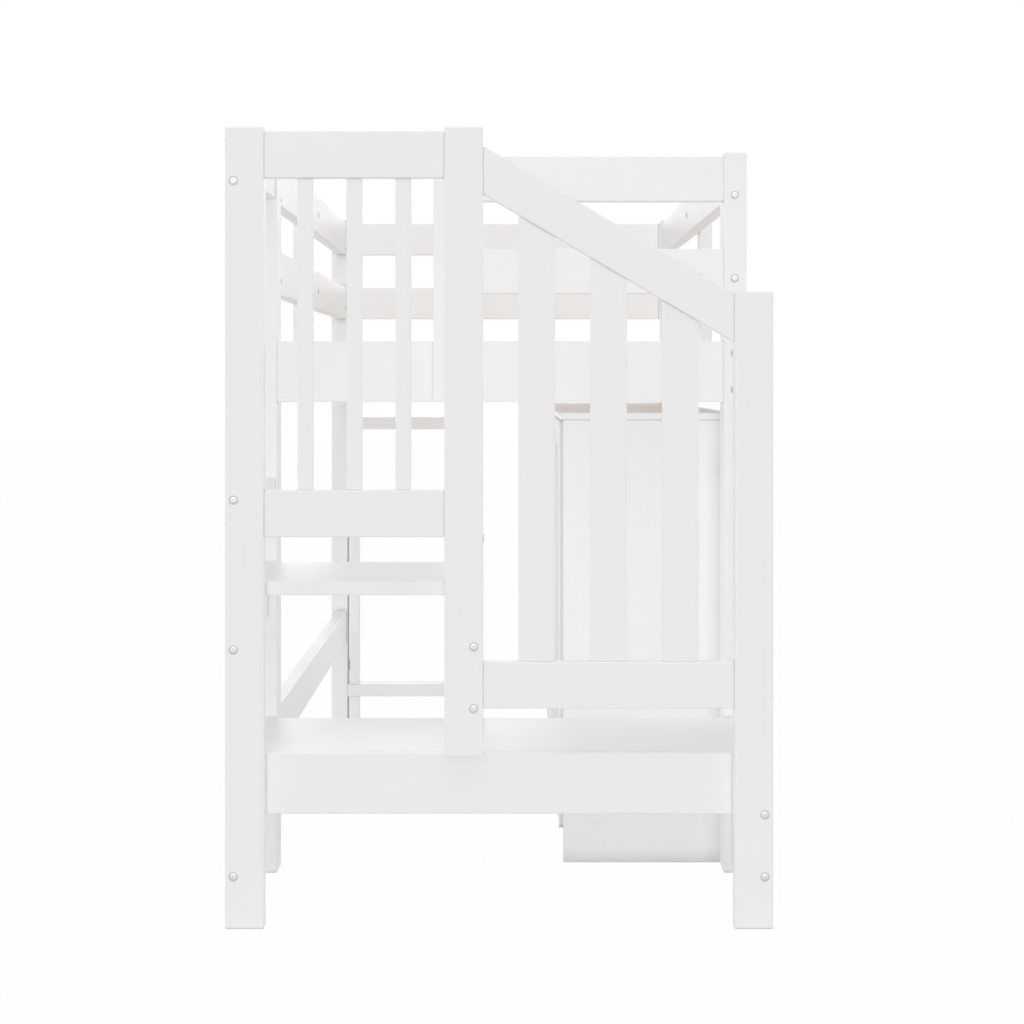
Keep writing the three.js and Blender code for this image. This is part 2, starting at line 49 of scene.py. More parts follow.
bpy.ops.object.camera_add(location=CAMERA_PLACE, rotation=(math.radians(90), 0, 0))
camera = bpy.context.object
camera.name = "camera"
camera.data.lens = CAMERA_LENS
camera.data.sensor_width = CAMERA_SENSOR
camera.data.shift_y = CAMERA_SHIFT
camera.data.clip_end = 100
bpy.context.scene.camera = camera
bpy.context.scene.view_settings.view_transform = "Standard"

# The light is a plain white studio: a weak dome, broad fill lamps on every side that cast no shadow, and
# one soft key lamp high in front that casts one. The floor runs out to the horizon. It is light grey, and
# looks white to the camera and in gloss, so that little light comes back up from it.
DOME_STRENGTH = 0.12
LAMP_SPREAD = 65
STUDIO_LAMPS = {
    "fill_front": ((0.1, 1, -0.12), 1.52, False),
    "fill_back": ((-0.1, -1, -0.12), 1.6, False),
    "fill_left": ((1, 0.1, -0.05), 1.1, False),
    "fill_right": ((-1, 0.1, -0.05), 1.16, False),
    "fill_top": ((0.05, 0.05, -1), 0.45, False),
    "fill_below": ((0, 0.05, 1), 0.97, False),
    "key": ((0, 0.6, -1), 0.85, True),
}
FLOOR_HALF = 30
FLOOR_COLOR = (0.62, 0.62, 0.62, 1)
FLOOR_ROUGHNESS = 0.9
FLOOR_SHINE = 0.1
FLOOR_GLOW_SHARE = 0.98

world = bpy.data.worlds.new("white_studio")
bpy.context.scene.world = world
world.use_nodes = True
dome = world.node_tree.nodes["Background"]
dome.inputs["Color"].default_value = (1, 1, 1, 1)
rays = world.node_tree.nodes.new("ShaderNodeLightPath")
straight = world.node_tree.nodes.new("ShaderNodeMath")
straight.operation = "MAXIMUM"
strength = world.node_tree.nodes.new("ShaderNodeMath")
strength.operation = "MAXIMUM"
strength.inputs[1].default_value = DOME_STRENGTH
world.node_tree.links.new(rays.outputs["Is Camera Ray"], straight.inputs[0])
world.node_tree.links.new(rays.outputs["Is Glossy Ray"], straight.inputs[1])
world.node_tree.links.new(straight.outputs[0], strength.inputs[0])
world.node_tree.links.new(strength.outputs[0], dome.inputs["Strength"])

for name, (direction, power, shadow) in STUDIO_LAMPS.items():
    bpy.ops.object.light_add(type="SUN")
    lamp = bpy.context.object
    lamp.name = name
    lamp.data.energy = power
    lamp.data.angle = math.radians(LAMP_SPREAD)
    lamp.data.use_shadow = shadow
    lamp.rotation_euler = Vector(direction).to_track_quat("-Z", "Y").to_euler()

bpy.ops.mesh.primitive_plane_add(size=2 * FLOOR_HALF, location=(0, 0, 0))
floor = bpy.context.object
floor.name = "studio_floor"
floor_paint = bpy.data.materials.new("floor_white")
floor_paint.use_nodes = True
floor_nodes = floor_paint.node_tree.nodes
floor_links = floor_paint.node_tree.links
floor_shader = floor_nodes["Principled BSDF"]
floor_shader.inputs["Base Color"].default_value = FLOOR_COLOR
floor_shader.inputs["Roughness"].default_value = FLOOR_ROUGHNESS
floor_shader.inputs["Specular IOR Level"].default_value = FLOOR_SHINE
floor_glow = floor_nodes.new("ShaderNodeEmission")
floor_mix = floor_nodes.new("ShaderNodeMixShader")
floor_rays = floor_nodes.new("ShaderNodeLightPath")
floor_share = floor_nodes.new("ShaderNodeMath")
floor_share.operation = "MULTIPLY"
floor_share.inputs[1].default_value = FLOOR_GLOW_SHARE
floor_straight = floor_nodes.new("ShaderNodeMath")
floor_straight.operation = "MAXIMUM"
floor_links.new(floor_rays.outputs["Is Camera Ray"], floor_straight.inputs[0])
floor_links.new(floor_rays.outputs["Is Glossy Ray"], floor_straight.inputs[1])
floor_links.new(floor_straight.outputs[0], floor_share.inputs[0])
floor_links.new(floor_share.outputs[0], floor_mix.inputs["Fac"])
floor_links.new(floor_shader.outputs["BSDF"], floor_mix.inputs[1])
floor_links.new(floor_glow.outputs["Emission"], floor_mix.inputs[2])
floor_links.new(floor_mix.outputs["Shader"], floor_nodes["Material Output"].inputs["Surface"])
floor.data.materials.append(floor_paint)

# The boards are pine under two sprayed coats of white. Under the paint the grain shows as fine ridges
# along each board. The coat has a faint orange peel and uneven gloss, and near joints its colour is
# darkened by painted shade.
GRAIN_SQUEEZE = (1, 1, 0.035)
RING_SCALE = 22
RING_WAVER = 7
RING_DETAIL = 3
RING_DETAIL_SCALE = 1.4
FIBRE_SCALE = 420
FIBRE_DETAIL = 4
FIBRE_SHARE = 0.45
MOTTLE_SCALE = 5
MOTTLE_DETAIL = 5
MOTTLE_SHARE = 0.5
PEEL_SCALE = 520
PEEL_DETAIL = 2
CORNER_SAMPLES = 8
CORNER_OPENNESS = (0.35, 0.95)


def add_timber_group():
    """Makes the shader group that all timber finishes share."""
    group = bpy.data.node_groups.new("timber_surface", "ShaderNodeTree")
    sockets = group.interface
    for name, kind in (
        ("Place", "NodeSocketVector"),
        ("Early wood", "NodeSocketColor"),
        ("Late wood", "NodeSocketColor"),
        ("Gloss", "NodeSocketFloat"),
        ("Gloss spread", "NodeSocketFloat"),
        ("Grain depth", "NodeSocketFloat"),
        ("Peel depth", "NodeSocketFloat"),
        ("Painted joint light", "NodeSocketFloat"),
        ("Painted shade reach", "NodeSocketFloat"),
    ):
        sockets.new_socket(name=name, in_out="INPUT", socket_type=kind)
    for name, kind in (
        ("Color", "NodeSocketColor"),
        ("Roughness", "NodeSocketFloat"),
        ("Height", "NodeSocketFloat"),
    ):
        sockets.new_socket(name=name, in_out="OUTPUT", socket_type=kind)
    add = group.nodes.new
    link = group.links.new
    given = add("NodeGroupInput")
    out = add("NodeGroupOutput")

    # The grain is long in Z and fine across it. Rings give the figure, and fibres the fine streaks.
    squeeze = add("ShaderNodeVectorMath")
    squeeze.operation = "MULTIPLY"
    squeeze.inputs[1].default_value = GRAIN_SQUEEZE
    link(given.outputs["Place"], squeeze.inputs[0])
    rings = add("ShaderNodeTexWave")
    rings.wave_type = "RINGS"
    rings.rings_direction = "Z"
    rings.inputs["Scale"].default_value = RING_SCALE
    rings.inputs["Distortion"].default_value = RING_WAVER
    rings.inputs["Detail"].default_value = RING_DETAIL
    rings.inputs["Detail Scale"].default_value = RING_DETAIL_SCALE
    link(squeeze.outputs[0], rings.inputs["Vector"])
    fibre = add("ShaderNodeTexNoise")
    fibre.inputs["Scale"].default_value = FIBRE_SCALE
    fibre.inputs["Detail"].default_value = FIBRE_DETAIL
    link(squeeze.outputs[0], fibre.inputs["Vector"])
    mottle = add("ShaderNodeTexNoise")
    mottle.inputs["Scale"].default_value = MOTTLE_SCALE
    mottle.inputs["Detail"].default_value = MOTTLE_DETAIL
    link(given.outputs["Place"], mottle.inputs["Vector"])
    peel = add("ShaderNodeTexNoise")
    peel.inputs["Scale"].default_value = PEEL_SCALE
    peel.inputs["Detail"].default_value = PEEL_DETAIL
    link(given.outputs["Place"], peel.inputs["Vector"])

    grain = add("ShaderNodeMix")
    grain.data_type = "FLOAT"
    grain.inputs["Factor"].default_value = FIBRE_SHARE
    link(rings.outputs["Fac"], grain.inputs["A"])
    link(fibre.outputs["Fac"], grain.inputs["B"])
    shade = add("ShaderNodeMix")
    shade.data_type = "FLOAT"
    shade.inputs["Factor"].default_value = MOTTLE_SHARE
    link(grain.outputs["Result"], shade.inputs["A"])
    link(mottle.outputs["Fac"], shade.inputs["B"])
    color = add("ShaderNodeMix")
    color.data_type = "RGBA"
    link(shade.outputs["Result"], color.inputs["Factor"])
    link(given.outputs["Early wood"], color.inputs["A"])
    link(given.outputs["Late wood"], color.inputs["B"])

    # Painted shade: the colour is darkened in the narrow corner where two boards meet, where the light
    # falls off.
    corner = add("ShaderNodeAmbientOcclusion")
    corner.samples = CORNER_SAMPLES
    link(given.outputs["Painted shade reach"], corner.inputs["Distance"])
    light = add("ShaderNodeMapRange")
    light.inputs["From Min"].default_value = CORNER_OPENNESS[0]
    light.inputs["From Max"].default_value = CORNER_OPENNESS[1]
    link(corner.outputs["AO"], light.inputs["Value"])
    link(given.outputs["Painted joint light"], light.inputs["To Min"])
    shaded = add("ShaderNodeMix")
    shaded.data_type = "RGBA"
    shaded.blend_type = "MULTIPLY"
    shaded.inputs["Factor"].default_value = 1
    link(color.outputs["Result"], shaded.inputs["A"])
    link(light.outputs["Result"], shaded.inputs["B"])
    link(shaded.outputs["Result"], out.inputs["Color"])

    centred = add("ShaderNodeMath")
    centred.operation = "SUBTRACT"
    centred.inputs[1].default_value = 0.5
    link(mottle.outputs["Fac"], centred.inputs[0])
    gloss = add("ShaderNodeMath")
    gloss.operation = "MULTIPLY_ADD"
    link(centred.outputs[0], gloss.inputs[0])
    link(given.outputs["Gloss spread"], gloss.inputs[1])
    link(given.outputs["Gloss"], gloss.inputs[2])
    link(gloss.outputs[0], out.inputs["Roughness"])

    grain_height = add("ShaderNodeMath")
    grain_height.operation = "MULTIPLY"
    link(grain.outputs["Result"], grain_height.inputs[0])
    link(given.outputs["Grain depth"], grain_height.inputs[1])
    height = add("ShaderNodeMath")
    height.operation = "MULTIPLY_ADD"
    link(peel.outputs["Fac"], height.inputs[0])
    link(given.outputs["Peel depth"], height.inputs[1])
    link(grain_height.outputs[0], height.inputs[2])
    link(height.outputs[0], out.inputs["Height"])
    return group


TIMBER = add_timber_group()
GRAIN_TURNS = {
    "X": (0, math.radians(90), 0),
    "Y": (math.radians(90), 0, 0),
    "Z": (0, 0, 0),
}
BOARD_STEP = Vector((1, 0.37, 0.61))


def timber_material(name, grain, look, shift=0.0):
    """A timber finish whose grain runs along one axis, moved so that boards differ."""
    material = bpy.data.materials.new(name)
    material.use_nodes = True
    nodes = material.node_tree.nodes
    links = material.node_tree.links
    shader = nodes["Principled BSDF"]
    shader.inputs["Specular IOR Level"].default_value = look["shine"]
    place = nodes.new("ShaderNodeTexCoord")
    turn = nodes.new("ShaderNodeMapping")
    turn.inputs["Rotation"].default_value = GRAIN_TURNS[grain]
    turn.inputs["Location"].default_value = shift * BOARD_STEP
    surface = nodes.new("ShaderNodeGroup")
    surface.node_tree = TIMBER
    for socket, value in (
        ("Early wood", look["early"]),
        ("Late wood", look["late"]),
        ("Gloss", look["gloss"]),
        ("Gloss spread", look["gloss_spread"]),
        ("Grain depth", look["grain"]),
        ("Peel depth", look["peel"]),
        ("Painted joint light", look["painted_joint_light"]),
        ("Painted shade reach", look["painted_shade_reach"]),
    ):
        surface.inputs[socket].default_value = value
    bump = nodes.new("ShaderNodeBump")
    bump.inputs["Strength"].default_value = 1
    bump.inputs["Distance"].default_value = look["relief"]
    links.new(place.outputs["Object"], turn.inputs["Vector"])
    links.new(turn.outputs["Vector"], surface.inputs["Place"])
    links.new(surface.outputs["Color"], shader.inputs["Base Color"])
    links.new(surface.outputs["Roughness"], shader.inputs["Roughness"])
    links.new(surface.outputs["Height"], bump.inputs["Height"])
    links.new(bump.outputs["Normal"], shader.inputs["Normal"])
    return material


WHITE_PAINT = {
    "early": (0.838, 0.838, 0.838, 1),
    "late": (0.818, 0.818, 0.818, 1),
    "gloss": 0.46,
    "gloss_spread": 0.18,
    "grain": 0.35,
    "peel": 0.3,
    "relief": 0.00008,
    "shine": 0.22,
    # The last two values paint shade into the colour near joints: how dark, and how far it reaches.
    "painted_joint_light": 0.72,
    "painted_shade_reach": 0.008,
}
BOARD_SHIFT = 1.7

# The guards' slats get only a faint painted shade where they meet the rails. The far left post gets a
# darker painted shade that reaches further, inside the narrow gap between it and the rack's side.
WHITE_SLAT = dict(WHITE_PAINT, painted_joint_light=0.95)
WHITE_GAP_PAINTED_SHADE = dict(WHITE_PAINT, painted_joint_light=0.5, painted_shade_reach=0.02)
SLAT_NUMBERS = (1, 2, 3)
SLATS = [f"{guard}_slat_{number}" for guard in ("landing", "stair") for number in SLAT_NUMBERS]
BOARD_LOOKS = dict.fromkeys(SLATS, WHITE_SLAT) | {"bed_post_far_left": WHITE_GAP_PAINTED_SHADE}


def finish_board(name, material):
    """Gives a CAD board its finish."""
    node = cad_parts[name]
    node.data.materials.clear()
    node.data.materials.append(material)


def grain_axis(name):
    """The axis along which a board is longest."""
    low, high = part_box(name)
    size = high - low
    return "XYZ"[max(range(3), key=lambda axis: size[axis])]


CABINET_PREFIX = "cabinet_"
DECK = "slat_deck"
board_names = sorted(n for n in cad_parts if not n.startswith(CABINET_PREFIX) and n != DECK)
for number, name in enumerate(board_names):
    axis = grain_axis(name)
    look = BOARD_LOOKS.get(name, WHITE_PAINT)
    finish_board(name, timber_material("white_paint_" + name, axis, look, BOARD_SHIFT * number))

# The cabinet is veneered board under the same white, so its grain shows less and it is a little
# smoother. Its painted shade near joints reaches further than on the frame. Its floor, back and shelves
# have a matt white foil.
WHITE_PANEL = dict(
    WHITE_PAINT,
    early=(0.842, 0.842, 0.842, 1),
    late=(0.824, 0.824, 0.824, 1),
    painted_shade_reach=0.04,
    grain=0.3,
    peel=0.4,
    gloss=0.42,
    gloss_spread=0.14,
)
WHITE_FOIL = dict(
    WHITE_PANEL,
    early=(0.85, 0.85, 0.846, 1),
    late=(0.82, 0.82, 0.816, 1),
    gloss=0.52,
    grain=0.0,
    peel=0.6,
)
FOIL_NODES = ("cabinet_floor", "cabinet_back", "cabinet_shelf_near", "cabinet_shelf_far")
cabinet_names = sorted(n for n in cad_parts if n.startswith(CABINET_PREFIX))
for number, name in enumerate(cabinet_names):
    look = WHITE_FOIL if name in FOIL_NODES else WHITE_PANEL
    axis = grain_axis(name)
    finish_board(name, timber_material("panel_" + name, axis, look, BOARD_SHIFT * number))

# The deck slats and the two ledgers that carry them are bare pine, planed and sanded but not painted,
# with open grain and a dry surface. Near joints their colour is darkened by painted shade. The CAD joins
# them in one node.
BARE_PINE = {
    "early": (0.56, 0.45, 0.36, 1),
    "late": (0.4, 0.28, 0.19, 1),
    "gloss": 0.62,
    "gloss_spread": 0.2,
    "grain": 1.0,
    "peel": 0.1,
    "relief": 0.0002,
    "shine": 0.3,
    "painted_joint_light": 0.7,
    "painted_shade_reach": 0.02,
}
finish_board(DECK, timber_material("bare_pine", "X", BARE_PINE))

# Connector bolts in bright zinc hold the posts. A domed head with a hexagon socket stands on a dull
# steel washer at the bottom of a counterbore. The washer's grey metal is painted shade as well as a
# washer: it fills the ring round the head, where the counterbore's floor would lie in shade, so that a
# dark ring shows round it.
SEAT_DEPTH = 0.003
WASHER_RADIUS = 0.009
WASHER_HEIGHT = 0.0007
WASHER_RIM = 0.0008
WASHER_DISH = -0.0004
HEAD_RADIUS = 0.007
HEAD_SIDE = 0.0022
HEAD_DOME = ((0.0011, 0.0006), (0.0018, 0.0005))
SOCKET_RADIUS = 0.0026
SOCKET_DEPTH = 0.0016
SOCKET_SIDES = 6
ROUND_SIDES = 32
METAL_WORN_SHARE = 0.86
METAL_POLISH = (-0.08, 0.1)
METAL_DETAIL = 6
METAL_RELIEF = 0.00004


def add_metal_material(name, color, roughness, scratch_scale):
    """Plated steel with fine uneven polish."""
    material = bpy.data.materials.new(name)
    material.use_nodes = True
    nodes = material.node_tree.nodes
    links = material.node_tree.links
    shader = nodes["Principled BSDF"]
    shader.inputs["Metallic"].default_value = 1
    place = nodes.new("ShaderNodeTexCoord")
    cloud = nodes.new("ShaderNodeTexNoise")
    cloud.inputs["Scale"].default_value = scratch_scale
    cloud.inputs["Detail"].default_value = METAL_DETAIL
    tint = nodes.new("ShaderNodeMix")
    tint.data_type = "RGBA"
    tint.inputs["A"].default_value = color
    tint.inputs["B"].default_value = [METAL_WORN_SHARE * part for part in color[:3]] + [1]
    polish = nodes.new("ShaderNodeMapRange")
    polish.inputs["To Min"].default_value = roughness + METAL_POLISH[0]
    polish.inputs["To Max"].default_value = roughness + METAL_POLISH[1]
    bump = nodes.new("ShaderNodeBump")
    bump.inputs["Distance"].default_value = METAL_RELIEF
    links.new(place.outputs["Object"], cloud.inputs["Vector"])
    links.new(cloud.outputs["Fac"], tint.inputs["Factor"])
    links.new(cloud.outputs["Fac"], polish.inputs["Value"])
    links.new(cloud.outputs["Fac"], bump.inputs["Height"])
    links.new(tint.outputs["Result"], shader.inputs["Base Color"])
    links.new(polish.outputs["Result"], shader.inputs["Roughness"])
    links.new(bump.outputs["Normal"], shader.inputs["Normal"])
    return material


ZINC = add_metal_material("bright_zinc", (0.59, 0.59, 0.59, 1), 0.5, 900)
DULL_STEEL = add_metal_material("dull_steel", (0.6, 0.6, 0.61, 1), 0.6, 700)


def only_select(*pieces):
    """Selects these pieces and no others, with the first one active."""
    bpy.ops.object.select_all(action="DESELECT")
    for piece in pieces:
        piece.select_set(True)
    bpy.context.view_layer.objects.active = pieces[0]


def add_blank(sides, radius, height, base=0.0):
    """Adds a round blank that stands at a height on the Z axis."""
    bpy.ops.object.select_all(action="DESELECT")
    bpy.ops.mesh.primitive_cylinder_add(
        vertices=sides, radius=radius, depth=height, location=(0, 0, base + height / 2)
    )
    blank = bpy.context.object
    bpy.ops.object.transform_apply(location=True, rotation=True, scale=True)
    return blank


def step_top(piece, steps):
    """Insets the top face of a piece, once for each step, and moves it up or down each time."""
    only_select(piece)
    bpy.ops.object.mode_set(mode="EDIT")
    bpy.ops.mesh.select_mode(type="FACE")
    bpy.ops.mesh.select_all(action="DESELECT")
    bpy.ops.object.mode_set(mode="OBJECT")
    max(piece.data.polygons, key=lambda face: face.center.z).select = True
    bpy.ops.object.mode_set(mode="EDIT")
    for margin, rise in steps:
        bpy.ops.mesh.inset(thickness=margin, depth=0)
        bpy.ops.transform.translate(value=(0, 0, rise))
    bpy.ops.object.mode_set(mode="OBJECT")


def cut_out(piece, cutter):
    """Cuts one piece out of another and clears the cutter away."""
    cut = piece.modifiers.new("cut", "BOOLEAN")
    cut.operation = "DIFFERENCE"
    cut.object = cutter
    cut.solver = "EXACT"
    only_select(piece)
    bpy.ops.object.modifier_apply(modifier=cut.name)
    bpy.data.objects.remove(cutter)


def top_of(piece):
    """The height of a piece's highest corner."""
    return max(corner.co.z for corner in piece.data.vertices)


def finish_all(piece, material):
    """Gives a new piece one finish all over."""
    piece.data.materials.clear()
    piece.data.materials.append(material)


def model_bolt(head_side):
    """A bolt's head and washer, which stand on z = 0 and point up."""
    # The washer's grey stands in for the shade in the counterbore round the head.
    shade_washer = add_blank(ROUND_SIDES, WASHER_RADIUS, WASHER_HEIGHT)
    step_top(shade_washer, ((WASHER_RIM, WASHER_DISH),))
    finish_all(shade_washer, DULL_STEEL)
    head = add_blank(ROUND_SIDES, HEAD_RADIUS, head_side, WASHER_HEIGHT + WASHER_DISH)
    step_top(head, HEAD_DOME)
    cut_out(head, add_blank(SOCKET_SIDES, SOCKET_RADIUS, 2 * SOCKET_DEPTH, top_of(head) - SOCKET_DEPTH))
    finish_all(head, ZINC)
    only_select(head, shade_washer)
    bpy.ops.object.join()
    return bpy.context.view_layer.objects.active


def copies_of(master, name, places, depth=0.0):
    """Copies a master to each place, turns it to face outward, and joins the copies into one piece."""
    made = []
    for point, outward in places:
        mesh = master.data.copy()
        turn = Vector((0, 0, 1)).rotation_difference(Vector(outward)).to_matrix().to_4x4()
        seat = Vector(point) - depth * Vector(outward).normalized()
        mesh.transform(Matrix.Translation(seat) @ turn)
        piece = bpy.data.objects.new(name, mesh)
        bpy.context.scene.collection.objects.link(piece)
        made.append(piece)
    only_select(*made)
    bpy.ops.object.join()
    piece = bpy.context.view_layer.objects.active
    piece.name = name
    bpy.ops.object.select_all(action="DESELECT")
    for face in piece.data.polygons:
        face.use_smooth = False
    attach(piece, "frame")


LEFT_POST_HEIGHTS = (0.103, 0.55, 0.845, 1.474)
MIDDLE_POST_HEIGHTS = (0.434, 0.556)
RIGHT_POST_HEIGHTS = (0.103, 0.225)
BED_POST_HEIGHTS = (1.06, 1.14, 1.304, 1.487)
BARE_BED_POST = "bed_post_near_left"
BOLT_FROM_STAIR_EDGE = 0.0165
BOLT_FROM_BED_EDGE = 0.026
TOWARD_FRONT = (0, -1, 0)

sunk_bolt = model_bolt(HEAD_SIDE)
stair_left_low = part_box("stair_post_left")[0]
stair_right_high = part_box("stair_post_right")[1]
riser_low, riser_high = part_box("riser_upper")
stair_front = stair_left_low.y
stair_bolts = [
    ((stair_left_low.x + BOLT_FROM_STAIR_EDGE, stair_front, z), TOWARD_FRONT) for z in LEFT_POST_HEIGHTS
]
stair_bolts += [
    (((riser_low.x + riser_high.x) / 2, stair_front, z), TOWARD_FRONT) for z in MIDDLE_POST_HEIGHTS
]
stair_bolts += [
    ((stair_right_high.x - BOLT_FROM_STAIR_EDGE, stair_front, z), TOWARD_FRONT)
    for z in RIGHT_POST_HEIGHTS
]
copies_of(sunk_bolt, "stair_bolts", stair_bolts, SEAT_DEPTH)

bed_bolts = []
for end, outward in (("near", -1), ("far", 1)):
    for side in ("left", "right"):
        post = f"bed_post_{end}_{side}"
        if post == BARE_BED_POST:
            continue
        low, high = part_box(post)
        x = low.x + BOLT_FROM_BED_EDGE if side == "left" else high.x - BOLT_FROM_BED_EDGE
        y = low.y if outward < 0 else high.y
        bed_bolts += [((x, y, z), (0, outward, 0)) for z in BED_POST_HEIGHTS]
copies_of(sunk_bolt, "bed_end_bolts", bed_bolts, SEAT_DEPTH)
bpy.data.objects.remove(sunk_bolt)

# Flat bolts stand proud of the wood. They run sideways through the posts into the stair's rails, and
# from inside the bed through the guard rails into the guard posts at mid length.
FLAT_HEAD_SIDE = 0.0009
SIDE_BOLTS = {
    "stair_post_left": (-1, (0.798, 1.556)),
    "stair_post_middle": (1, (0.769, 1.53)),
    "stair_post_right": (1, (0.455, 1.237)),
}
GUARD_BOLT_HEIGHTS = {
    "side_rail_{}": 1.1,
    "{}_guard_rail_lower": 1.319,
    "{}_guard_rail_upper": 1.523,
}
ENTRY_BOLT_HEIGHTS = (1.1, 1.319, 1.523)

flat_bolt = model_bolt(FLAT_HEAD_SIDE)
side_bolts = []
for post, (outward, heights) in SIDE_BOLTS.items():
    low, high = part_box(post)
    x = low.x if outward < 0 else high.x
    side_bolts += [((x, (low.y + high.y) / 2, z), (outward, 0, 0)) for z in heights]
copies_of(flat_bolt, "stair_side_bolts", side_bolts)

guard_bolts = []
for side, inward in (("left", 1), ("right", -1)):
    post_low, post_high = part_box("guard_post_" + side)
    for rail, z in GUARD_BOLT_HEIGHTS.items():
        low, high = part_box(rail.format(side))
        x = high.x if inward > 0 else low.x
        guard_bolts.append(((x, (post_low.y + post_high.y) / 2, z), (inward, 0, 0)))
entry_low, entry_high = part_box("entry_post")
guard_bolts += [
    (((entry_low.x + entry_high.x) / 2, entry_low.y, z), TOWARD_FRONT) for z in ENTRY_BOLT_HEIGHTS
]
copies_of(flat_bolt, "guard_bolts", guard_bolts)
bpy.data.objects.remove(flat_bolt)

# Each connector bolt ends in a barrel nut, a slotted steel pin that lies across the rail. Its end
# shows on the rail's inner face, a little way in from the post.
NUT_RADIUS = 0.0055
NUT_COLLAR_RADIUS = 0.0066
NUT_COLLAR_HEIGHT = 0.0003
NUT_COLLAR_CHAMFER = ((0.0003, 0.0001),)
NUT_HEIGHT = 0.0011
NUT_CHAMFER = ((0.0007, 0.0004),)
NUT_SLOT = (0.0075, 0.0014, 0.0016)
NUT_FROM_POST = 0.035
NUT_HEIGHTS = {
    "side_rail_{}": (1.06, 1.14),
    "{}_guard_rail_lower": (1.304,),
    "{}_guard_rail_upper": (1.487,),
}


def slot_cutter(size, top):
    """A bar that cuts a screwdriver slot across a round top."""
    bpy.ops.object.select_all(action="DESELECT")
    bpy.ops.mesh.primitive_cube_add(size=1, location=(0, 0, top))
    bar = bpy.context.object
    bar.scale = size
    bpy.ops.object.transform_apply(location=True, rotation=True, scale=True)
    return bar


collar = add_blank(ROUND_SIDES, NUT_COLLAR_RADIUS, NUT_COLLAR_HEIGHT)
step_top(collar, NUT_COLLAR_CHAMFER)
finish_all(collar, DULL_STEEL)
barrel = add_blank(ROUND_SIDES, NUT_RADIUS, NUT_HEIGHT)
step_top(barrel, NUT_CHAMFER)
cut_out(barrel, slot_cutter(NUT_SLOT, top_of(barrel)))
finish_all(barrel, ZINC)
only_select(barrel, collar)
bpy.ops.object.join()
barrel_nut = bpy.context.view_layer.objects.active
nuts = []
for side, inward in (("left", 1), ("right", -1)):
    for rail, heights in NUT_HEIGHTS.items():
        low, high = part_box(rail.format(side))
        x = high.x if inward > 0 else low.x
        for y in (low.y + NUT_FROM_POST, high.y - NUT_FROM_POST):
            nuts += [((x, y, z), (inward, 0, 0)) for z in heights]
copies_of(barrel_nut, "barrel_nuts", nuts)
bpy.data.objects.remove(barrel_nut)

# Wood screws with a cross recess fix the guard slats through the top rails, the deck slats to their
# ledgers, and the cabinet's thin back to its frame.
SCREW_RADIUS = 0.0042
SCREW_HEIGHT = 0.0005
SCREW_DOME = ((0.0012, 0.0003),)
SCREW_RECESS = (0.0042, 0.0009, 0.0011)
SCREW_SIDES = 24
UPWARD = (0, 0, 1)

screw = add_blank(SCREW_SIDES, SCREW_RADIUS, SCREW_HEIGHT)
step_top(screw, SCREW_DOME)
screw_top = top_of(screw)
long_way, short_way, recess_depth = SCREW_RECESS
cut_out(screw, slot_cutter(SCREW_RECESS, screw_top))
cut_out(screw, slot_cutter((short_way, long_way, recess_depth), screw_top))
finish_all(screw, ZINC)

# One screw goes down into each slat, square to the sloping rail or the landing rail.
SLOPE_RAIL_DEPTH = 0.095
slope_low, slope_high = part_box("stair_rail_upper")
landing_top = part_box("landing_rail_upper")[1].z
slope_drop = slope_high.z - slope_low.z - SLOPE_RAIL_DEPTH
slope_tilt = math.atan2(slope_drop, slope_high.x - slope_low.x)
slope_normal = (math.sin(slope_tilt), 0, math.cos(slope_tilt))
screw_shift = SLOPE_RAIL_DEPTH * math.cos(slope_tilt) * math.sin(slope_tilt)
rail_screws = []
for number in SLAT_NUMBERS:
    low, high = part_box(f"stair_slat_{number}")
    x = (low.x + high.x) / 2 + screw_shift
    z = slope_high.z - (x - slope_low.x) * math.tan(slope_tilt)
    rail_screws.append(((x, (low.y + high.y) / 2, z), slope_normal))
    low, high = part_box(f"landing_slat_{number}")
    rail_screws.append((((low.x + high.x) / 2, (low.y + high.y) / 2, landing_top), UPWARD))
copies_of(screw, "guard_slat_screws", rail_screws)

# Each deck slat has a screw at both ends.
DECK_SLATS = 13
DECK_SLAT_WIDTH = 0.07
DECK_END_GAP = 0.045
DECK_SCREW_FROM_END = 0.0125
deck_low, deck_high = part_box(DECK)
first_slat = deck_low.y + DECK_END_GAP + DECK_SLAT_WIDTH / 2
last_slat = deck_high.y - DECK_END_GAP - DECK_SLAT_WIDTH / 2
deck_screws = []
for number in range(DECK_SLATS):
    y = first_slat + (last_slat - first_slat) * number / (DECK_SLATS - 1)
    for x in (deck_low.x + DECK_SCREW_FROM_END, deck_high.x - DECK_SCREW_FROM_END):
        deck_screws.append(((x, y, deck_high.z), UPWARD))
copies_of(screw, "deck_screws", deck_screws)

# The back's screws run round its edge.
BACK_SCREW_INSET = 0.012
BACK_SCREW_PITCH = 0.15
BACK_FACING = (1, 0, 0)
back_low, back_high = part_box("cabinet_back")
long_count = round((back_high.y - back_low.y) / BACK_SCREW_PITCH)
tall_count = round((back_high.z - back_low.z) / BACK_SCREW_PITCH)
back_screws = []
for number in range(long_count + 1):
    y = back_low.y + BACK_SCREW_INSET
    y += (back_high.y - back_low.y - 2 * BACK_SCREW_INSET) * number / long_count
    for z in (back_low.z + BACK_SCREW_INSET, back_high.z - BACK_SCREW_INSET):
        back_screws.append(((back_high.x, y, z), BACK_FACING))
for number in range(1, tall_count):
    z = back_low.z + (back_high.z - back_low.z) * number / tall_count
    for y in (back_low.y + BACK_SCREW_INSET, back_high.y - BACK_SCREW_INSET):
        back_screws.append(((back_high.x, y, z), BACK_FACING))
copies_of(screw, "cabinet_back_screws", back_screws)
bpy.data.objects.remove(screw)

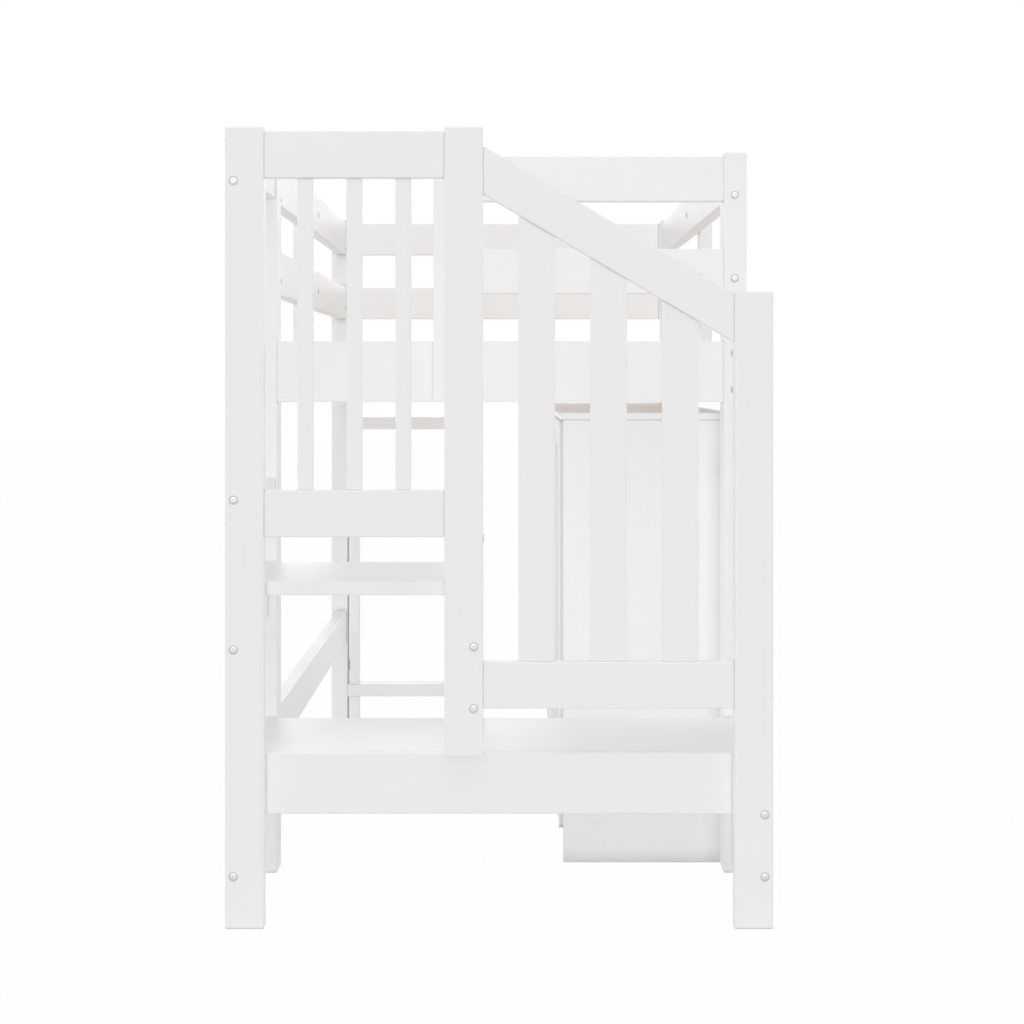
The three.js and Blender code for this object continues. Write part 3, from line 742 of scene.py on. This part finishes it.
# White plastic caps cover the screws that hold the cabinet's floor and shelves between its sides. They
# are pressed into the screw heads, so they stand a little proud of the panel.
CAP_RADIUS = 0.0065
CAP_HEIGHT = 0.0005
CAP_DOME = ((0.0012, 0.0004), (0.0024, 0.0002))
CAP_FROM_FRONT = (0.073, 0.321)
CAP_SHINE = 0.5
CAP_CLOUD_SCALE = 800
CAP_COLORS = ((0.82, 0.82, 0.82, 1), (0.79, 0.79, 0.79, 1))
CAP_ROUGHNESS = (0.25, 0.4)
PANEL_THICKNESS = 0.016

cap_paint = bpy.data.materials.new("white_cap_plastic")
cap_paint.use_nodes = True
cap_nodes = cap_paint.node_tree.nodes
cap_links = cap_paint.node_tree.links
cap_shader = cap_nodes["Principled BSDF"]
cap_shader.inputs["Specular IOR Level"].default_value = CAP_SHINE
cap_place = cap_nodes.new("ShaderNodeTexCoord")
cap_cloud = cap_nodes.new("ShaderNodeTexNoise")
cap_cloud.inputs["Scale"].default_value = CAP_CLOUD_SCALE
cap_tint = cap_nodes.new("ShaderNodeMix")
cap_tint.data_type = "RGBA"
cap_tint.inputs["A"].default_value, cap_tint.inputs["B"].default_value = CAP_COLORS
cap_polish = cap_nodes.new("ShaderNodeMapRange")
cap_polish.inputs["To Min"].default_value, cap_polish.inputs["To Max"].default_value = CAP_ROUGHNESS
cap_links.new(cap_place.outputs["Object"], cap_cloud.inputs["Vector"])
cap_links.new(cap_cloud.outputs["Fac"], cap_tint.inputs["Factor"])
cap_links.new(cap_cloud.outputs["Fac"], cap_polish.inputs["Value"])
cap_links.new(cap_tint.outputs["Result"], cap_shader.inputs["Base Color"])
cap_links.new(cap_polish.outputs["Result"], cap_shader.inputs["Roughness"])

cap = add_blank(ROUND_SIDES, CAP_RADIUS, CAP_HEIGHT)
step_top(cap, CAP_DOME)
finish_all(cap, cap_paint)
floor_low, floor_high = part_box("cabinet_floor")
shelf_low, shelf_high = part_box("cabinet_shelf_near")
cap_heights = ((floor_low.z + floor_high.z) / 2, (shelf_low.z + shelf_high.z) / 2)
caps = []
for side, outward in (("near", -1), ("far", 1)):
    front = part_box("cabinet_side_" + side)[0].x
    y = floor_low.y - PANEL_THICKNESS if outward < 0 else floor_high.y + PANEL_THICKNESS
    for reach in CAP_FROM_FRONT:
        caps += [((front + reach, y, z), (0, outward, 0)) for z in cap_heights]
copies_of(cap, "cabinet_caps", caps)
bpy.data.objects.remove(cap)
